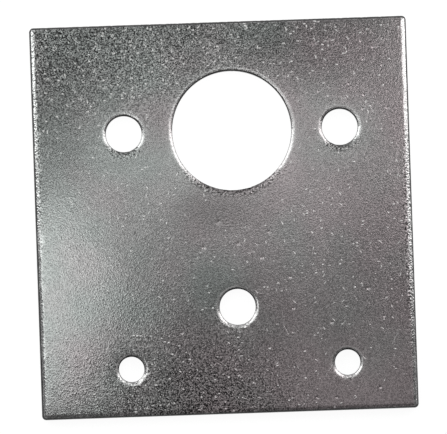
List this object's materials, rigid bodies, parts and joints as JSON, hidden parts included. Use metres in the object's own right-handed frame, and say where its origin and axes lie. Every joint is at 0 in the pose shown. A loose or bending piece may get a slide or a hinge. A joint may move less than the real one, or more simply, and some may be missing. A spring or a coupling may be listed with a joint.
{
  "type": "ball shooter mounting plate",
  "caption": "Flat stamped steel plate, zinc plated, with a large bore for a ball shooter, machine screw holes beside and below it, and small wood screw holes near the bottom edge.",
  "frame": {"origin": "middle of the plate's outline, on the back face that it lies on", "axes": "+X to the right and +Y to the top edge, seen from the face; +Z from the back face to the face with the rolled edges"},
  "size_m": [0.0664, 0.069, 0.0024],
  "materials": {
    "zinc_plated_steel": "bright zinc plating over rolled steel sheet, satin and speckled, with light handling scratches"
  },
  "bodies": {
    "root": {"mounting_plate": "zinc_plated_steel"}
  },
  "joints": []
}
